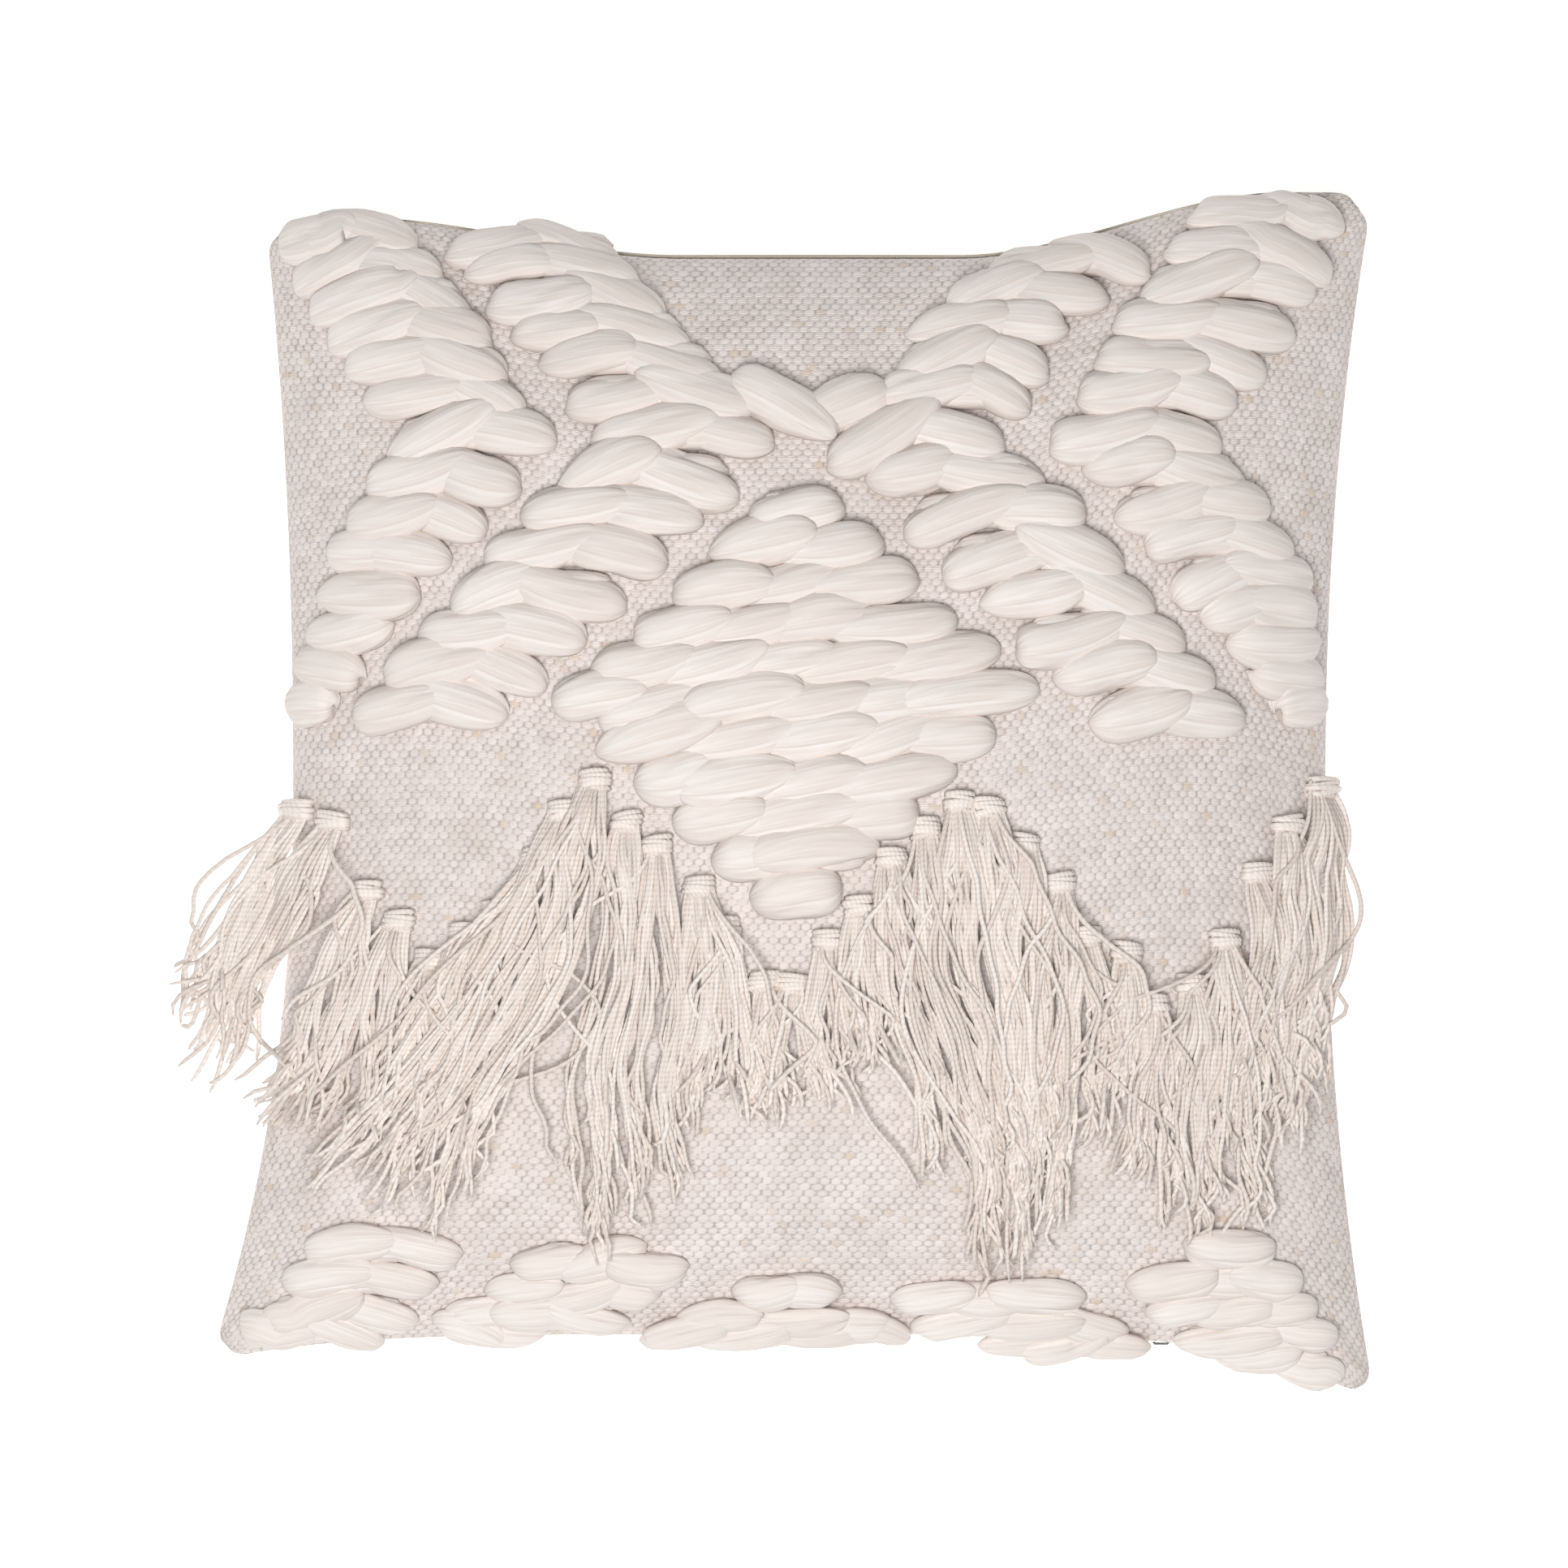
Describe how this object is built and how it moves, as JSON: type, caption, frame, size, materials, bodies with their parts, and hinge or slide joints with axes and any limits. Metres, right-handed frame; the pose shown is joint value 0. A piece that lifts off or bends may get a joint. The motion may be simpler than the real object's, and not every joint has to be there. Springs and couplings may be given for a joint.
{
  "type": "throw pillow",
  "caption": "Square throw pillow lying on its back: woven cotton cover with twisted roving chevrons and a zigzag of yarn tassels, a zip in the bottom seam, and a filled insert.",
  "frame": {"origin": "middle of the flat patch that the back panel rests on", "axes": "+Z out of the decorated front face, +Y towards the top edge, +X towards the right edge seen from the front"},
  "size_m": [0.4711, 0.472, 0.1505],
  "materials": {
    "front_weave": "chunky basket-weave cotton, matt",
    "back_cloth": "plain-weave cotton, matt",
    "casing_cloth": "fine cotton casing, matt",
    "fibre_fill": "polyester fibre fill",
    "roving": "thick unspun roving, soft matt",
    "tassel_yarn": "twisted cotton yarn, matt",
    "zip_tape": "woven polyester tape",
    "zip_nylon": "nylon coil, satin",
    "zip_metal": "die-cast zinc, satin nickel plate"
  },
  "bodies": {
    "root": {"front_panel": "front_weave", "back_panel": "back_cloth", "insert_casing_front": "casing_cloth", "insert_casing_back": "casing_cloth", "insert_fill": "fibre_fill", "zipper_tape_front": "zip_tape", "zipper_tape_back": "zip_tape", "zipper_coil_front": "zip_nylon", "zipper_coil_back": "zip_nylon", "zipper_stop_left": "zip_metal", "zipper_stop_right": "zip_metal", "roving_inner_left_upper": "roving", "roving_inner_left_lower": "roving", "roving_inner_right_upper": "roving", "roving_inner_right_lower": "roving", "roving_outer_left_upper": "roving", "roving_outer_left_lower": "roving", "roving_outer_right_upper": "roving", "roving_outer_right_lower": "roving", "roving_centre_link": "roving", "roving_centre_diamond": "roving", "roving_hem_1": "roving", "roving_hem_2": "roving", "roving_hem_3": "roving", "roving_hem_4": "roving", "roving_hem_5": "roving", "tassel_01": "tassel_yarn", "tassel_02": "tassel_yarn", "tassel_03": "tassel_yarn", "tassel_04": "tassel_yarn", "tassel_05": "tassel_yarn", "tassel_06": "tassel_yarn", "tassel_07": "tassel_yarn", "tassel_08": "tassel_yarn", "tassel_09": "tassel_yarn", "tassel_10": "tassel_yarn", "tassel_11": "tassel_yarn", "tassel_12": "tassel_yarn", "tassel_13": "tassel_yarn", "tassel_14": "tassel_yarn", "tassel_15": "tassel_yarn", "tassel_16": "tassel_yarn", "tassel_17": "tassel_yarn", "tassel_18": "tassel_yarn", "tassel_19": "tassel_yarn", "tassel_20": "tassel_yarn", "tassel_21": "tassel_yarn", "tassel_22": "tassel_yarn", "tassel_23": "tassel_yarn", "tassel_24": "tassel_yarn", "tassel_25": "tassel_yarn", "tassel_26": "tassel_yarn", "tassel_27": "tassel_yarn", "tassel_28": "tassel_yarn", "tassel_29": "tassel_yarn", "tassel_30": "tassel_yarn", "tassel_31": "tassel_yarn", "tassel_32": "tassel_yarn"},
    "slider": {"zipper_slider": "zip_metal"},
    "pull": {"zipper_pull": "zip_metal"}
  },
  "joints": [
    {"name": "zip_slide", "type": "slide", "parent": "root", "child": "slider", "axis": [1, 0, 0], "range_m": [-0.2898, 0]},
    {"name": "pull_swing", "type": "hinge", "parent": "slider", "child": "pull", "pos_m": [0.1449, -0.2174, 0.062], "axis": [0, 0, 1], "range_deg": [0, 180]}
  ]
}
